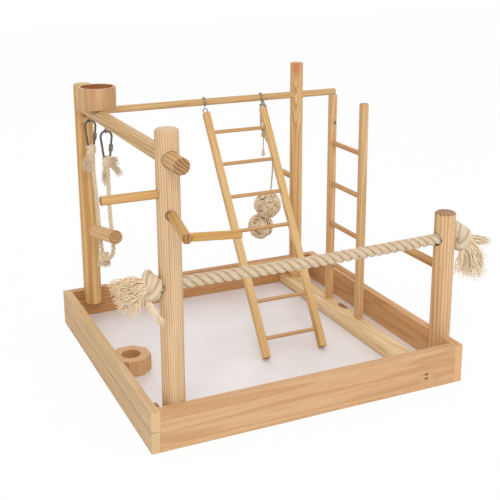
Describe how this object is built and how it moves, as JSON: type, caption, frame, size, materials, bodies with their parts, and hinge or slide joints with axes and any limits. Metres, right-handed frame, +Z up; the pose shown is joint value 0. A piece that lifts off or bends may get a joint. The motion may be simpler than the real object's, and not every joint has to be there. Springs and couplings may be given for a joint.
{
  "type": "parrot play stand",
  "caption": "Wooden table-top parrot play stand: droppings tray with posts, dowel perches, ladders, swing, rope perch, hanging toy and bamboo cup.",
  "frame": {"origin": "middle of the front board's underside, on the ground", "axes": "+X to the right along the front board, +Y to the back, +Z up"},
  "size_m": [0.6282, 0.6279, 0.441],
  "materials": {
    "pine_boards": "raw sanded pine",
    "pine_rods": "raw sanded pine",
    "bamboo": "dry bamboo, satin",
    "white_panel": "smooth white laminate",
    "cotton_rope": "natural twisted cotton",
    "woven_vine": "dry woven vine",
    "dark_links": "dull steel",
    "zinc_wire": "zinc plated",
    "steel_fixings": "plain steel"
  },
  "bodies": {
    "stand": {"back_board": "pine_boards", "back_left_post": "pine_rods", "back_right_post": "pine_rods", "bamboo_cup": "bamboo", "corner_block": "pine_boards", "corner_dowels": "pine_rods", "cross_rail": "pine_boards", "elbow_perch_arm": "pine_rods", "elbow_perch_tip": "pine_rods", "front_board": "pine_boards", "front_left_post": "pine_rods", "front_right_post": "pine_rods", "left_rail": "pine_boards", "long_perch": "pine_rods", "post_pins": "steel_fixings", "rail_nails": "steel_fixings", "rear_perch": "pine_rods", "right_board": "pine_boards", "right_perch": "pine_rods", "rope_knot_left": "cotton_rope", "rope_knot_right": "cotton_rope", "rope_perch": "cotton_rope", "rope_tuft_left": "cotton_rope", "rope_tuft_right": "cotton_rope", "side_perch": "pine_rods", "standing_rungs": "pine_rods", "standing_upright_front": "pine_rods", "standing_upright_rear": "pine_rods", "swing_eye_front": "zinc_wire", "swing_eye_rear": "zinc_wire", "top_bar": "pine_rods", "toy_eye": "zinc_wire", "wood_screws": "steel_fixings"},
    "slide_out_tray": {"droppings_panel": "white_panel", "tray_front": "pine_boards"},
    "leaning_ladder": {"ladder_rail_left": "pine_rods", "ladder_rail_right": "pine_rods", "ladder_rungs": "pine_rods", "ladder_eye_left": "zinc_wire", "ladder_eye_right": "zinc_wire", "ladder_hook_left": "zinc_wire", "ladder_hook_right": "zinc_wire"},
    "swing": {"swing_link_front": "dark_links", "swing_link_rear": "dark_links", "swing_rope_front": "cotton_rope", "swing_rope_rear": "cotton_rope", "swing_knot_front": "cotton_rope", "swing_knot_rear": "cotton_rope", "swing_perch": "pine_rods", "swing_lower_knot": "cotton_rope"},
    "swing_sleeve_front": {"swing_sleeve_front": "dark_links"},
    "swing_sleeve_rear": {"swing_sleeve_rear": "dark_links"},
    "toy_link": {"toy_link": "dark_links"},
    "toy_sleeve": {"toy_sleeve": "dark_links"},
    "toy_hanger": {"toy_tassel": "cotton_rope", "toy_cord": "cotton_rope", "toy_ball_upper": "woven_vine", "toy_ball_lower": "woven_vine"},
    "octagonal_block": {"octagonal_block": "pine_boards"}
  },
  "joints": [
    {"name": "tray_slide", "type": "slide", "parent": "stand", "child": "slide_out_tray", "axis": [-1, 0, 0], "range_m": [0, 0.495]},
    {"name": "ladder_lift", "type": "hinge", "parent": "stand", "child": "leaning_ladder", "pos_m": [0.069, 0.4445, 0.382], "axis": [-1, 0, 0], "range_deg": [0, 24]},
    {"name": "swing_sway", "type": "hinge", "parent": "stand", "child": "swing", "pos_m": [-0.207, 0.3515, 0.3731], "axis": [0, 1, 0], "range_deg": [-28, 28]},
    {"name": "swing_sleeve_front_open", "type": "slide", "parent": "swing", "child": "swing_sleeve_front", "axis": [0.1197, 0, 0.9928], "range_m": [0, 0.008]},
    {"name": "swing_sleeve_rear_open", "type": "slide", "parent": "swing", "child": "swing_sleeve_rear", "axis": [0.1197, 0, 0.9928], "range_m": [0, 0.008]},
    {"name": "toy_link_sway", "type": "hinge", "parent": "stand", "child": "toy_link", "pos_m": [0.13, 0.4475, 0.3654], "axis": [0, 1, 0], "range_deg": [-5, 25]},
    {"name": "toy_sleeve_open", "type": "slide", "parent": "toy_link", "child": "toy_sleeve", "axis": [0.0311, 0, 0.9995], "range_m": [0, 0.008]},
    {"name": "toy_hanger_sway", "type": "hinge", "parent": "toy_link", "child": "toy_hanger", "pos_m": [0.13, 0.4475, 0.3199], "axis": [1, 0, 0], "range_deg": [-20, 20]},
    {"name": "block_lift", "type": "slide", "parent": "stand", "child": "octagonal_block", "axis": [0, 0, 1], "range_m": [0, 0.12]}
  ]
}
